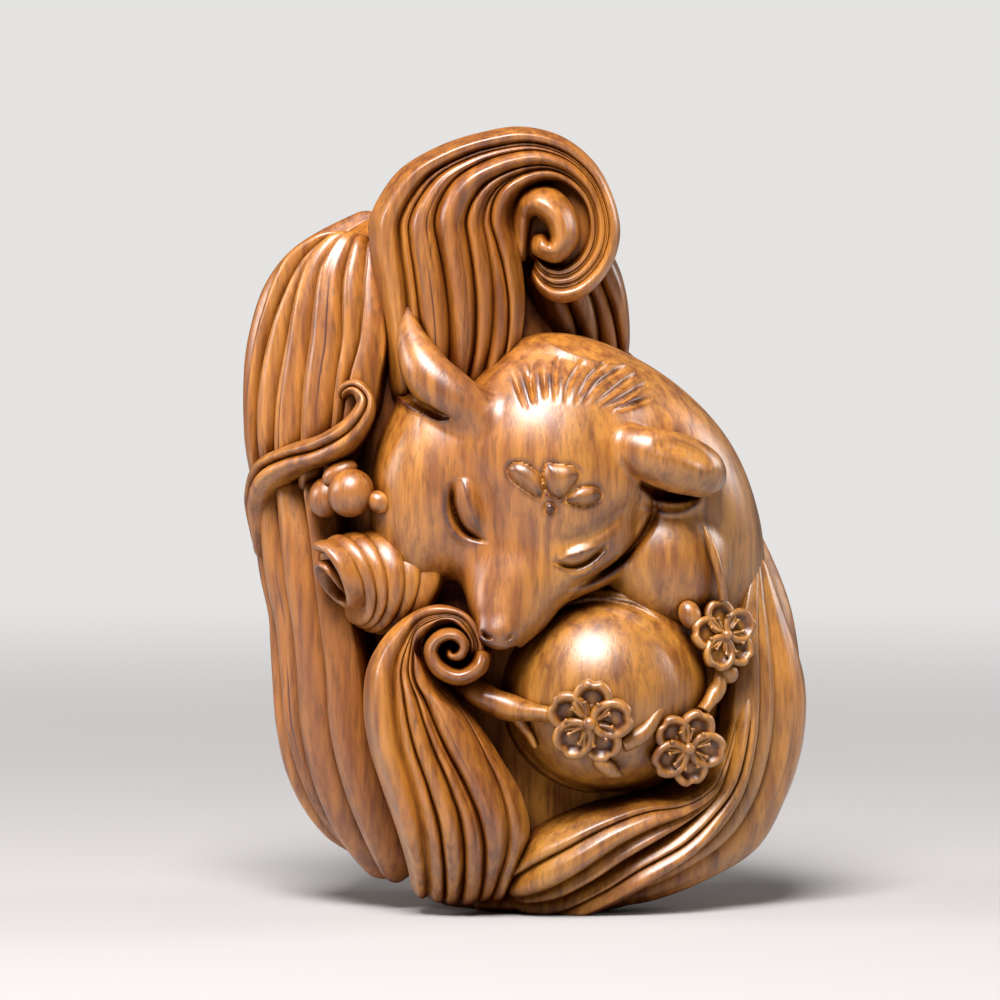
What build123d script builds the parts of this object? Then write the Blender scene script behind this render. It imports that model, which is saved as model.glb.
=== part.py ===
from build123d import *

import os
from math import asin, cos, degrees, radians, sin, tan

# A fox curled up asleep in its own tails, carved in the round from one block of dense wood.
# The frame has Z up, the fox's face towards -Y, and the origin in the middle of the foot.
# Left and right are the viewer's, as seen from the front. The carved forms sit on the block, each
# trimmed to the block and to the forms made before it, so that neighbours meet face to face.

# Overall sizes
figure_height = 70 * MM
figure_width = 49 * MM
figure_depth = 34 * MM

# The front view that the forms are laid out on: the figure's edges in pixels of the picture, the
# middle of the picture, and where it is looked at from
view_left_px = 253
view_right_px = 803
view_base_px = 904
view_middle_px = 500
view_distance = 600 * MM
view_elevation = 3

# The block under the carving, level by level: height as a share of the figure's, then the left and
# right edges as shares of half its width, and the front and back as shares of half its depth
block_level_shares = (
    (0.000, -0.32, 0.32, 0.38, 0.38),
    (0.035, -0.39, 0.50, 0.44, 0.52),
    (0.106, -0.57, 0.72, 0.48, 0.70),
    (0.195, -0.76, 0.85, 0.50, 0.80),
    (0.296, -0.82, 0.90, 0.52, 0.84),
    (0.398, -0.84, 0.83, 0.52, 0.84),
    (0.500, -0.88, 0.75, 0.50, 0.82),
    (0.602, -0.91, 0.64, 0.46, 0.76),
    (0.704, -0.90, 0.36, 0.36, 0.66),
    (0.780, -0.84, 0.14, 0.26, 0.54),
    (0.850, -0.68, -0.02, 0.14, 0.40),
    (0.880, -0.52, -0.14, 0.06, 0.26),
)

# Locks of hair: the grooves between their strands, and how they narrow to their roots
strand_groove = 0.45 * MM
groove_share = 0.5
root_taper_share = 0.8
rear_tail_width = 11.5 * MM
spine_step = 0.01

# How high the locks and other drawn-out forms stand in the middle
curl_rise = 0.6 * MM
twig_rise = 0.8 * MM
volute_rise = 0.9 * MM
wrap_rise = 1.2 * MM
ear_rise = 1.3 * MM
forelock_rise = 1.4 * MM
inner_rise = 1.5 * MM
crest_rise = 1.6 * MM
lock_rise = 1.9 * MM
flank_rise = 2.2 * MM
front_rise = 2.6 * MM
arch_rise = 4.2 * MM

# How deep their roots go
curl_depth = 1 * MM
wrap_depth = 1.6 * MM
ear_depth = 1.8 * MM
lock_depth = 2.6 * MM
twig_depth = 3 * MM
base_depth = 4 * MM
tail_depth = 5 * MM
crest_depth = 5.5 * MM
arch_depth = 6 * MM

# How far their middle lines lie above the block
lock_lift = 0.1 * MM
base_lower_lift = 0.2 * MM
inner_lift = 1 * MM
base_middle_lift = 1.2 * MM
wrap_lift = 1.5 * MM
base_upper_lift = 2 * MM
front_lift = 2.8 * MM
small_bead_lift = 3 * MM
bead_lift = 3.4 * MM

# The rolled tail: how far its strands stand off the roll, and the spiral on its end, which loses a
# share of the roll's radius at each step of its turn
scroll_ridge = 1.7 * MM
scroll_groove = 0.4 * MM
curl_count = 15
curl_turn = 40
curl_width_px = 13
curl_start_share = 0.92
curl_step_share = 0.055

# Blossoms
petal_radius = 1.9 * MM
petal_pitch_radius = 2.5 * MM
petal_dish_radius = 2.4 * MM
petal_dish_depth = 0.8 * MM
blossom_bead_radius = 0.8 * MM
blossom_depth = 4.5 * MM


def spot(px, py, forward_share):
    """The point at a pixel of the front view, forward of the middle by a share of half the depth."""
    forward = forward_share * figure_depth / 2
    pixel = figure_width / (view_right_px - view_left_px)
    nearness = 1 - forward / view_distance
    middle_x = (view_middle_px - (view_left_px + view_right_px) / 2) * pixel
    middle_z = (view_base_px - view_middle_px) * pixel
    return Vector(
        middle_x + (px - view_middle_px) * pixel * nearness,
        -forward,
        middle_z + (view_middle_px - py) * pixel * nearness + forward * tan(radians(view_elevation)),
    )


def wide(px):
    """A distance in pixels of the front view as a length."""
    return px * figure_width / (view_right_px - view_left_px)


def along(values, place):
    """The value at a place between numbered values, on a smooth curve through them."""
    first = max(0, min(int(place), len(values) - 2))
    part = place - first
    a = values[max(first - 1, 0)]
    b = values[first]
    c = values[first + 1]
    d = values[min(first + 2, len(values) - 1)]
    linear = (c - a) * (part / 2)
    square = (a * 2 - b * 5 + c * 4 - d) * (part**2 / 2)
    cube = (b * 3 - a - c * 3 + d) * (part**3 / 2)
    return b + linear + square + cube


def block_ellipse(z):
    """Centre X, centre Y, half width and half depth of the block at a height."""
    heights = [level[0] for level in block_level_shares]
    share = max(heights[0], min(z / figure_height, heights[-1]))
    below = max(i for i in range(len(heights) - 1) if heights[i] <= share)
    place = below + (share - heights[below]) / (heights[below + 1] - heights[below])
    left, right, front, back = (
        along([level[column] for level in block_level_shares], place) for column in (1, 2, 3, 4)
    )
    return (
        (left + right) / 2 * figure_width / 2,
        (back - front) / 2 * figure_depth / 2,
        (right - left) / 2 * figure_width / 2,
        (front + back) / 2 * figure_depth / 2,
    )


def skin(angle, z):
    """A point of the block's skin. The angle runs from the front, to the right."""
    centre_x, centre_y, half_width, half_depth = block_ellipse(z)
    turn = radians(angle)
    return Vector(centre_x + half_width * sin(turn), centre_y - half_depth * cos(turn), z)


def on_block(angle, z, lift=lock_lift):
    """A point at a lift above the block's skin, and the outward direction there."""
    step = figure_height / 200
    sideways = skin(angle + 1, z) - skin(angle - 1, z)
    upwards = skin(angle, z + step) - skin(angle, z - step)
    outward = sideways.cross(upwards).normalized()
    return skin(angle, z) + outward * lift, outward


def seen(px, py, lift=lock_lift):
    """The point of the block seen at a pixel of the front view, lifted, and its outward direction."""
    forward_share = 0
    for _ in range(4):
        place = spot(px, py, forward_share)
        centre_x, centre_y, half_width, half_depth = block_ellipse(place.Z)
        sine = max(-1, min(1, (place.X - centre_x) / half_width))
        forward_share = (half_depth * cos(asin(sine)) - centre_y) / (figure_depth / 2)
    return on_block(degrees(asin(sine)), place.Z, lift)


def over_block(rows, lift=lock_lift):
    """Stations over the block, from rows of a pixel and a width in pixels."""
    return [(*seen(px, py, lift), wide(width_px)) for px, py, width_px in rows]


def around_block(rows, width, lift=lock_lift):
    """Stations round the block, from rows of an angle and shares of the height and of a width."""
    return [(*on_block(angle, share * figure_height, lift), part * width) for angle, share, part in rows]


def free(rows, facing=(0, -1, 0)):
    """Stations off the block, from rows of a pixel, a width in pixels and a forward share."""
    return [(spot(px, py, share), Vector(*facing), wide(width_px)) for px, py, width_px, share in rows]


def scallops(half, rise, groove, strands, base=0.0):
    """The ridges of the strands across a lock, for the line builder that is open."""

    def dome(share):
        return base + rise * (1 - share**2) ** 0.6

    for strand in range(strands):
        low = -1 + 2 * strand / strands
        high = -1 + 2 * (strand + 1) / strands
        middle = (low + high) / 2
        left = (half * low, dome(low) - (groove if strand else 0))
        right = (half * high, dome(high) - (groove if strand < strands - 1 else 0))
        ThreePointArc(left, (half * middle, dome(middle) + groove / 2), right)


def lock(stations, strands, rise=lock_rise, depth=lock_depth, back_rise=0):
    """A lock of hair: a bundle of strands through stations of a point, an outward direction and a width."""
    points, outwards, widths = zip(*stations)
    spans = len(stations) - 1
    widest = max(widths)
    with BuildPart() as made:
        for place in range(spans + 1):
            ahead = along(points, min(place + spine_step, spans))
            tangent = (ahead - along(points, max(place - spine_step, 0))).normalized()
            outward = along(outwards, place)
            outward = (outward - tangent * outward.dot(tangent)).normalized()
            half = along(widths, place) / 2
            share = 2 * half / widest
            groove = min(strand_groove, half / strands * groove_share) if strands > 1 else 0
            with BuildSketch(Plane(origin=along(points, place), x_dir=outward.cross(tangent), z_dir=tangent)):
                with BuildLine():
                    scallops(half, rise * share, groove, strands)
                    if back_rise:
                        Line((half, 0), (half, -depth))
                        scallops(half, -back_rise * share, -groove, strands, -depth)
                        Line((-half, -depth), (-half, 0))
                    else:
                        root = half * root_taper_share
                        Polyline((half, 0), (root, -depth), (-root, -depth), (-half, 0))
                make_face()
        loft()
    return made.part


def pebble(place, long_radius, short_radius):
    """A spheroid whose long axis is the X axis of the plane it is drawn in."""
    with BuildPart() as made:
        with BuildSketch(place):
            with BuildLine():
                arc = EllipticalCenterArc((0, 0), long_radius, short_radius, start_angle=0, arc_size=180)
                Line(arc @ 1, arc @ 0)
            make_face()
        revolve(axis=Axis(place.origin, place.x_dir))
    return made.part


def blossom(place):
    """A blossom of five cupped petals round a bead, on a plane that looks the way it faces."""
    with BuildPart() as made:
        with BuildSketch(place):
            with PolarLocations(petal_pitch_radius, 5, start_angle=90):
                Circle(petal_radius)
            Circle(petal_pitch_radius)
        extrude(amount=-blossom_depth)
        with Locations(place):
            with PolarLocations(petal_pitch_radius, 5, start_angle=90):
                with Locations((0, 0, petal_dish_radius - petal_dish_depth)):
                    Sphere(petal_dish_radius, mode=Mode.SUBTRACT)
            Sphere(blossom_bead_radius)
    return made.part


carved = {}
boxes = {}


def meet(a, b):
    """Whether two boxes overlap."""
    return all(
        low_a < high_b and low_b < high_a
        for low_a, high_a, low_b, high_b in (
            (a.min.X, a.max.X, b.min.X, b.max.X),
            (a.min.Y, a.max.Y, b.min.Y, b.max.Y),
            (a.min.Z, a.max.Z, b.min.Z, b.max.Z),
        )
    )


def carve(name, form, beside=()):
    """Names a form, cut at the ground and to the forms beside it, or to all that were carved before."""
    box = form.bounding_box()
    near = [carved[other] for other in beside or carved if meet(box, boxes[other])]
    with BuildPart() as seated:
        add(form)
        if box.min.Z < 0:
            split(bisect_by=Plane.XY)
        if near:
            add(near, mode=Mode.SUBTRACT)
    part = Part() + seated.part.solids().sort_by(SortBy.VOLUME)[-1]
    part.label = name
    carved[name] = part
    boxes[name] = part.bounding_box()


# The block
with BuildPart() as block:
    for level in block_level_shares:
        centre_x, centre_y, half_width, half_depth = block_ellipse(level[0] * figure_height)
        with BuildSketch(Plane.XY.offset(level[0] * figure_height)):
            with Locations((centre_x, centre_y)):
                Ellipse(half_width, half_depth)
    loft()
carve("block", block.part)

# The haunch, an egg that the muzzle rests on
haunch_place = Plane(spot(601, 676, 0.42), x_dir=(0.2, 0, 1), z_dir=(0, -1, 0))
carve("haunch", pebble(haunch_place, wide(98), wide(92)))

# The head: a wide forehead that narrows to a long muzzle, drawn square to the tilted line of the face.
# Each row has the middle pixel of a section, its half width in pixels and its front and back shares
head_tilt = 17
head_rows = (
    (579, 362, 34, 0.56, 0.20),
    (572, 384, 74, 0.76, 0.05),
    (561, 416, 96, 0.86, -0.05),
    (551, 452, 103, 0.91, -0.05),
    (543, 488, 99, 0.90, 0.00),
    (536, 524, 91, 0.86, 0.10),
    (528, 556, 70, 0.83, 0.20),
    (513, 589, 46, 0.86, 0.35),
    (503, 617, 31, 0.89, 0.50),
    (498, 638, 16, 0.87, 0.62),
)
face_side = Vector(cos(radians(head_tilt)), 0, -sin(radians(head_tilt)))
face_down = Vector(-sin(radians(head_tilt)), 0, -cos(radians(head_tilt)))
with BuildPart() as head:
    for px, py, half_px, front_share, back_share in head_rows:
        middle_share = (front_share + back_share) / 2
        with BuildSketch(Plane(spot(px, py, middle_share), x_dir=face_side, z_dir=face_down)):
            Ellipse(wide(half_px), (front_share - back_share) / 2 * figure_depth / 2)
    loft()
carve("head", head.part)

# The smooth parts of the body round the head: the cheek, the chest, the arched back and the flank
cheek_place = Plane(spot(424, 486, 0.42), x_dir=(0.18, 0, -1), z_dir=(0, -1, 0))
carve("cheek", pebble(cheek_place, wide(104), wide(56)))
chest_place = Plane(spot(668, 562, 0.30), x_dir=(0.8, 0, -1), z_dir=(0, -1, 0))
carve("chest", pebble(chest_place, wide(72), wide(52)))
back_rows = (
    (500, 376, 26, 0.42),
    (528, 354, 44, 0.38),
    (582, 366, 66, 0.32),
    (632, 408, 82, 0.26),
    (674, 464, 90, 0.20),
    (702, 524, 86, 0.14),
    (724, 582, 62, 0.10),
    (738, 624, 36, 0.10),
)
carve("back", lock(free(back_rows, (0.45, -1, 0.25)), 1, arch_rise, arch_depth))
flank_rows = (
    (758, 572, 16),
    (770, 620, 52),
    (772, 690, 72),
    (760, 755, 66),
    (728, 815, 50),
    (678, 862, 34),
    (625, 892, 20),
)
carve("flank", lock(over_block(flank_rows), 3, flank_rise))

# The ears, the left one on end and the right one laid back
left_ear_rows = (
    (476, 416, 46, 0.74),
    (448, 396, 52, 0.72),
    (424, 366, 44, 0.66),
    (411, 334, 28, 0.58),
    (408, 308, 9, 0.50),
)
carve("left_ear", lock(free(left_ear_rows, (-0.3, -1, 0.2)), 1, ear_rise, ear_depth))
right_ear_rows = ((632, 456, 46, 0.66), (660, 464, 50, 0.66), (690, 470, 42, 0.60), (712, 470, 16, 0.50))
carve("right_ear", lock(free(right_ear_rows, (0.3, -1, 0.3)), 1, ear_rise, ear_depth))

# The crest, a tail that rises behind the head and rolls over into a volute
crest_rows = (
    (451, 380, 122, 0.42),
    (449, 330, 134, 0.42),
    (446, 275, 140, 0.42),
    (448, 226, 132, 0.42),
    (464, 187, 110, 0.42),
    (498, 160, 72, 0.42),
    (538, 155, 55, 0.42),
    (571, 170, 50, 0.42),
    (592, 202, 46, 0.42),
    (596, 238, 44, 0.42),
    (584, 270, 46, 0.42),
    (560, 289, 48, 0.42),
    (541, 280, 36, 0.40),
    (534, 260, 22, 0.38),
)
carve("crest_tail", lock(free(crest_rows), 6, crest_rise, crest_depth, volute_rise))
crest_curl_rows = (
    (520, 214, 14, 0.36),
    (530, 202, 24, 0.38),
    (546, 203, 30, 0.42),
    (560, 218, 28, 0.44),
    (564, 238, 25, 0.44),
    (554, 250, 21, 0.44),
    (541, 246, 17, 0.45),
    (538, 234, 12, 0.46),
)
carve("crest_curl", lock(free(crest_curl_rows), 1, volute_rise, tail_depth))
rear_crest_rows = (
    (530, 190, 60, 0.16),
    (552, 235, 84, 0.14),
    (578, 290, 96, 0.10),
    (590, 345, 84, 0.06),
    (590, 400, 60, 0.0),
)
carve("rear_crest", lock(free(rear_crest_rows, (0.3, -1, 0.1)), 3, crest_rise, tail_depth))

# The tails down the left side
left_upper_rows = (
    (372, 240, 24),
    (345, 268, 66),
    (325, 315, 100),
    (318, 370, 116),
    (316, 430, 110),
    (312, 485, 90),
)
carve("left_upper_tail", lock(over_block(left_upper_rows), 5))
left_edge_rows = (
    (-94, 0.40, 0.30),
    (-95, 0.50, 0.45),
    (-96, 0.60, 0.50),
    (-98, 0.71, 0.50),
    (-106, 0.80, 0.45),
    (-124, 0.87, 0.25),
)
carve("left_edge_tail", lock(around_block(left_edge_rows, rear_tail_width), 3))
left_lower_rows = (
    (-76, 0.53, 0.36),
    (-76, 0.46, 0.56),
    (-76, 0.36, 0.70),
    (-74, 0.26, 0.76),
    (-70, 0.17, 0.70),
    (-62, 0.10, 0.50),
    (-54, 0.06, 0.24),
)
carve("left_lower_tail", lock(around_block(left_lower_rows, rear_tail_width), 4))
wrap_rows = (
    (262, 508, 24),
    (272, 478, 34),
    (300, 456, 36),
    (330, 443, 30),
    (352, 428, 24),
    (358, 406, 18),
    (344, 389, 8),
)
carve("wrap_lock", lock(over_block(wrap_rows, wrap_lift), 3, wrap_rise, wrap_depth))

# The rolled tail in the middle of the left side, its strands running round the roll
scroll_axis = Vector(-0.80, -0.60, 0.08).normalized()
scroll_middle = spot(384, 580, 0.50)
scroll_half = wide(46)
scroll_radius = wide(34)
scroll_place = Plane(scroll_middle, x_dir=scroll_axis, z_dir=scroll_axis.cross(Vector(0, 0, 1)))
with BuildPart() as side_scroll:
    with BuildSketch(scroll_place):
        with BuildLine():
            scallops(scroll_half, scroll_ridge, scroll_groove, 5, scroll_radius)
            Polyline(
                (scroll_half, scroll_radius),
                (scroll_half, 0),
                (-scroll_half, 0),
                (-scroll_half, scroll_radius),
            )
        make_face()
    revolve(axis=Axis(scroll_middle, scroll_axis))
carve("side_scroll", side_scroll.part)
curl_place = Plane(scroll_middle + scroll_axis * scroll_half, x_dir=scroll_place.y_dir, z_dir=scroll_axis)
curl_stations = []
for count in range(curl_count):
    turn = radians(curl_turn * count)
    radius = scroll_radius * (curl_start_share - curl_step_share * count)
    place = curl_place.from_local_coords((radius * cos(turn), radius * sin(turn), 0))
    curl_stations.append((Vector(place), scroll_axis, wide(curl_width_px)))
carve("side_curl", lock(curl_stations, 1, curl_rise, curl_depth))
bead_rows = {
    "large_bead": (351, 492, 23, bead_lift),
    "small_bead": (327, 494, 18, small_bead_lift),
    "bud_bead": (380, 502, 12, bead_lift),
}
for name, (px, py, radius_px, lift) in bead_rows.items():
    carve(name, pebble(Plane(seen(px, py, lift)[0]), wide(radius_px), wide(radius_px)))

# The tail in front, which rises from the base and curls over beside the muzzle
front_rows = (
    (468, 895, 54),
    (463, 858, 106),
    (455, 800, 124),
    (434, 750, 112),
    (414, 700, 94),
    (404, 660, 72),
    (410, 632, 48),
    (428, 614, 28),
)
carve("front_tail", lock(over_block(front_rows, front_lift), 6, front_rise, tail_depth))
front_curl_rows = (
    (412, 640, 26, 0.72),
    (430, 622, 26, 0.76),
    (456, 618, 22, 0.80),
    (474, 634, 20, 0.82),
    (478, 658, 19, 0.82),
    (460, 675, 17, 0.82),
    (440, 668, 15, 0.82),
    (435, 652, 13, 0.82),
    (446, 642, 11, 0.83),
    (456, 650, 9, 0.84),
)
carve("front_curl", lock(free(front_curl_rows), 1, twig_rise, base_depth))
left_inner_rows = ((347, 640, 18), (351, 690, 32), (366, 750, 36), (390, 810, 32), (415, 862, 20))
carve("left_inner_tail", lock(over_block(left_inner_rows, inner_lift), 2, inner_rise))

# The tails round the base
base_upper_rows = (
    (496, 878, 30),
    (545, 866, 38),
    (600, 845, 40),
    (650, 822, 38),
    (690, 797, 34),
    (716, 766, 26),
    (730, 730, 12),
)
carve("base_upper_tail", lock(over_block(base_upper_rows, base_upper_lift), 2, depth=base_depth))
base_middle_rows = (
    (496, 900, 24),
    (540, 897, 28),
    (585, 884, 32),
    (640, 860, 34),
    (690, 832, 32),
    (724, 798, 26),
    (742, 760, 18),
    (748, 720, 10),
)
carve("base_middle_tail", lock(over_block(base_middle_rows, base_middle_lift), 2, depth=base_depth))
base_lower_rows = (
    (-34, 0.010, 0.20),
    (-5, 0.012, 0.28),
    (20, 0.02, 0.30),
    (40, 0.035, 0.30),
    (58, 0.07, 0.26),
)
carve("base_lower_tail", lock(around_block(base_lower_rows, rear_tail_width, base_lower_lift), 2))

# The tails down the back, which gather under the crest
rear_rows = {
    "rear_left_tail": (
        (-118, 0.03, 0.5),
        (-122, 0.20, 0.9),
        (-124, 0.40, 1),
        (-126, 0.60, 0.95),
        (-134, 0.75, 0.8),
        (-150, 0.85, 0.4),
    ),
    "rear_middle_tail": (
        (-152, 0.03, 0.5),
        (-154, 0.20, 0.9),
        (-156, 0.40, 1),
        (-158, 0.58, 0.95),
        (-166, 0.72, 0.75),
        (-176, 0.85, 0.4),
    ),
    "rear_right_tail": (
        (172, 0.03, 0.5),
        (172, 0.20, 0.9),
        (172, 0.40, 1),
        (172, 0.56, 0.9),
        (172, 0.68, 0.7),
        (170, 0.80, 0.35),
    ),
    "right_rear_tail": (
        (140, 0.03, 0.5),
        (140, 0.20, 0.9),
        (142, 0.38, 1),
        (144, 0.52, 0.8),
        (148, 0.62, 0.6),
        (154, 0.72, 0.3),
    ),
    "right_edge_tail": (
        (108, 0.05, 0.5),
        (108, 0.20, 0.9),
        (110, 0.34, 0.9),
        (116, 0.48, 0.7),
        (126, 0.58, 0.45),
        (136, 0.66, 0.25),
    ),
}
rear_neighbours = {
    "rear_left_tail": ("block", "left_edge_tail", "left_lower_tail", "crest_tail"),
    "rear_middle_tail": ("block", "rear_left_tail", "crest_tail"),
    "rear_right_tail": ("block", "rear_middle_tail", "rear_crest"),
    "right_rear_tail": ("block", "rear_right_tail", "rear_crest"),
    "right_edge_tail": ("block", "right_rear_tail", "flank", "back"),
}
for name, rows in rear_rows.items():
    carve(name, lock(around_block(rows, rear_tail_width), 4), rear_neighbours[name])

# Details of the face
carve("nose", pebble(Plane(spot(497, 637, 0.84)), wide(16), wide(14)))
left_eye_place = Plane(spot(470, 508, 0.70), x_dir=(0.4, 0, -1), z_dir=(0, -1, 0))
carve("left_eyelid", pebble(left_eye_place, wide(24), wide(15)))
right_eye_place = Plane(spot(590, 548, 0.73), x_dir=(1, 0, 0.35), z_dir=(0, -1, 0))
carve("right_eyelid", pebble(right_eye_place, wide(20), wide(12)))
forelock_rows = (
    (600, 345, 70, 0.42),
    (592, 368, 116, 0.60),
    (583, 396, 130, 0.74),
    (576, 424, 100, 0.82),
    (573, 438, 56, 0.84),
)
carve("forelock", lock(free(forelock_rows, (0.1, -1, 0.5)), 9, forelock_rise, twig_depth))
mark_rows = {
    "heart_mark": (560, 475, 17, 12, 0.87, (0, 0, -1)),
    "left_mark": (525, 475, 17, 9, 0.875, (1, 0, -0.4)),
    "right_mark": (585, 495, 16, 9, 0.835, (1, 0, -0.1)),
    "dot_mark": (549, 508, 6, 6, 0.87, (1, 0, 0)),
}
for name, (px, py, long_px, short_px, share, length_way) in mark_rows.items():
    mark_place = Plane(spot(px, py, share), x_dir=length_way, z_dir=(0, -1, 0))
    carve(name, pebble(mark_place, wide(long_px), wide(short_px)))

# Blossoms and twigs
blossom_rows = {
    "front_blossom": (585, 722, 0.90, (-0.12, -0.93, -0.35)),
    "low_blossom": (687, 748, 0.72, (0.35, -0.9, -0.2)),
    "side_blossom": (725, 637, 0.56, (0.5, -0.85, 0.15)),
}
for name, (px, py, share, facing) in blossom_rows.items():
    sideways = Vector(0, 0, 1).cross(Vector(*facing))
    carve(name, blossom(Plane(spot(px, py, share), x_dir=sideways, z_dir=facing)))
twig_rows = {
    "left_branch": ((462, 690, 20, 0.62), (500, 706, 22, 0.68), (535, 713, 16, 0.76), (556, 718, 10, 0.84)),
    "right_twig": ((622, 741, 16, 0.84), (648, 728, 18, 0.80), (664, 708, 14, 0.76), (671, 682, 5, 0.72)),
    "upper_branch": ((722, 664, 14, 0.50), (718, 688, 16, 0.56), (704, 706, 12, 0.62)),
    "chest_twig": ((707, 535, 5, 0.56), (716, 552, 10, 0.56), (722, 575, 12, 0.55), (722, 602, 12, 0.54)),
}
for name, rows in twig_rows.items():
    carve(name, lock(free(rows), 1, twig_rise, twig_depth))

os.makedirs("parts", exist_ok=True)
for name, part in carved.items():
    export_step(part, f"parts/{name}.step")
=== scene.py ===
import math

import bpy
import numpy as np
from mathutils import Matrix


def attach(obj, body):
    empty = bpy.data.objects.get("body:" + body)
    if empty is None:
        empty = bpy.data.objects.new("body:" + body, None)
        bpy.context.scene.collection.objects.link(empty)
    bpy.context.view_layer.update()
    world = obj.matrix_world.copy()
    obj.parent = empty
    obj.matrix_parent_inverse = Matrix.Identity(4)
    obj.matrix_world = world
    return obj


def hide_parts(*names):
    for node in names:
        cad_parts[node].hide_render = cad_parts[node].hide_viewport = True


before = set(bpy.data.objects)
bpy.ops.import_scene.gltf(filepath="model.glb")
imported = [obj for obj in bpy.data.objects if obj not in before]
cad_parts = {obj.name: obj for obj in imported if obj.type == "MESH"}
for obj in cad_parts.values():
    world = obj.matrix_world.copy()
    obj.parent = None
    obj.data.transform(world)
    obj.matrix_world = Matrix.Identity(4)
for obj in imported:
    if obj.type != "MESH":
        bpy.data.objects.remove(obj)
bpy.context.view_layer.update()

import openvdb
from mathutils import Vector

# A fox curled up asleep in its own tails, carved from one block of dense wood. Lengths are in
# millimetres until a mesh is made. Z is up and the fox's face looks towards -Y.
metre = 1000.0
rng = np.random.default_rng(11)

# The photograph's view: the figure's size, base line and middle in it, and where it is seen from
picture_px = 1000
figure_width, figure_width_px = 49, 550
figure_height = 70
pixel = figure_width / figure_width_px
base_px = 904
middle_px = 528
half_depth = 17
percent = 100
view_distance = 600
view_elevation = math.radians(3)

tiny = 1e-9
curve_fineness = 40
fewest_places = 8


def spot(px, py, share):
    """Points at pixels of the photograph, forward of the middle by a share in % of half the depth."""
    px, py, forward = np.broadcast_arrays(px, py, np.asarray(share, float) / percent * half_depth)
    near = pixel * (1 - forward / view_distance)
    x = (picture_px / 2 - middle_px) * pixel + (px - picture_px / 2) * near
    z = (base_px - picture_px / 2) * pixel + (picture_px / 2 - py) * near
    return np.stack([x, -forward, z + forward * math.tan(view_elevation)], axis=-1)


def unit(vectors):
    return vectors / np.maximum(np.linalg.norm(vectors, axis=-1, keepdims=True), tiny)


def curve(rows, places):
    """Rows of values at places between them, on a smooth curve."""
    rows = np.asarray(rows, float)
    last = len(rows) - 1
    first = np.clip(places.astype(int), 0, last - 1)
    part = (places - first).reshape((-1,) + (1,) * (rows.ndim - 1))
    a, b = rows[np.maximum(first - 1, 0)], rows[first]
    c, d = rows[first + 1], rows[np.minimum(first + 2, last)]
    square, cube = a * 2 - b * 5 + c * 4 - d, b * 3 - a - c * 3 + d
    return b + (c - a) * part / 2 + square * part**2 / 2 + cube * part**3 / 2


def evenly(points, step):
    """Places along a curve through points that lie about a step apart."""
    fine = np.linspace(0, len(points) - 1, curve_fineness * len(points))
    path = curve(points, fine)
    length = np.concatenate([[0], np.cumsum(np.linalg.norm(np.diff(path, axis=0), axis=1))])
    count = max(fewest_places, int(length[-1] / step))
    return np.interp(np.linspace(0, length[-1], count), length, fine)


def circle(count):
    """Angles round a full turn."""
    return np.linspace(0, math.tau, count, endpoint=False)[None, :]


def circled(centre, radius, turn, first, second):
    """Rings of points about a centre, in the plane of two directions."""
    rings = centre + (radius * np.cos(turn))[..., None] * first
    return rings + (radius * np.sin(turn))[..., None] * second


# Meshes: after which rounds of smoothing the hollows are measured, and how deep they count in full
hollow_depths = {1: 0.05, 7: 0.12}


def cavities(points, faces):
    """How hollow the surface is at each point, for the painted shade in the cuts."""
    corners = np.concatenate([faces[:, [k, (k + 1) % faces.shape[1]]] for k in range(faces.shape[1])])
    a, b = corners[:, 0], corners[:, 1]
    count = np.bincount(a, minlength=len(points)) + np.bincount(b, minlength=len(points))
    count = np.maximum(count, 1)[:, None]
    normal = np.zeros_like(points)
    first, second = points[faces[:, 2]] - points[faces[:, 0]], points[faces[:, -1]] - points[faces[:, 1]]
    cross = np.cross(first, second)
    for k in range(faces.shape[1]):
        for axis in range(3):
            normal[:, axis] += np.bincount(faces[:, k], cross[:, axis], len(points))
    normal = unit(normal)
    smooth = points
    hollow = np.zeros(len(points))
    for step in range(max(hollow_depths) + 1):
        near = [
            np.bincount(a, smooth[b, k], len(points)) + np.bincount(b, smooth[a, k], len(points))
            for k in range(3)
        ]
        smooth = np.stack(near, axis=1) / count
        if step in hollow_depths:
            hollow += ((smooth - points) * normal).sum(1) / hollow_depths[step]
    return np.clip(hollow / len(hollow_depths), -1, 1)


def added(name, data):
    """A new object in the scene."""
    made = bpy.data.objects.new(name, data)
    bpy.context.collection.objects.link(made)
    return made


def solid(name, points, quads, triangles=()):
    """A smooth mesh of the wood, with how hollow it is kept at each point."""
    mesh = bpy.data.meshes.new(name)
    faces = quads.tolist() + [list(face) for face in triangles]
    points[:, 2] = np.maximum(points[:, 2], 0)
    mesh.from_pydata((points / metre).tolist(), [], faces)
    mesh.shade_smooth()
    hollow = mesh.attributes.new("hollow", "FLOAT", "POINT")
    hollow.data.foreach_set("value", cavities(points, quads).astype(np.float32))
    return added(name, mesh)


def tube_mesh(rings):
    """Points and faces of a skin through closed rings of points, with its ends closed."""
    rows, columns = rings.shape[:2]
    points = np.concatenate([rings.reshape(-1, 3), rings[:1].mean(1), rings[-1:].mean(1)])
    index = np.arange(rows * columns).reshape(rows, columns)
    beside = np.roll(index, -1, axis=1)
    quads = np.stack([index[:-1], beside[:-1], beside[1:], index[1:]], axis=-1).reshape(-1, 4)
    ends = [(rows * columns, beside[0, k], index[0, k]) for k in range(columns)]
    ends += [(rows * columns + 1, index[-1, k], beside[-1, k]) for k in range(columns)]
    a, b, c, d = (points[quads[:, k]] - points[0] for k in range(4))
    if ((a * np.cross(b, c)).sum() + (a * np.cross(c, d)).sum()) < 0:
        return points, quads[:, ::-1], [face[::-1] for face in ends]
    return points, quads, ends


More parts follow.
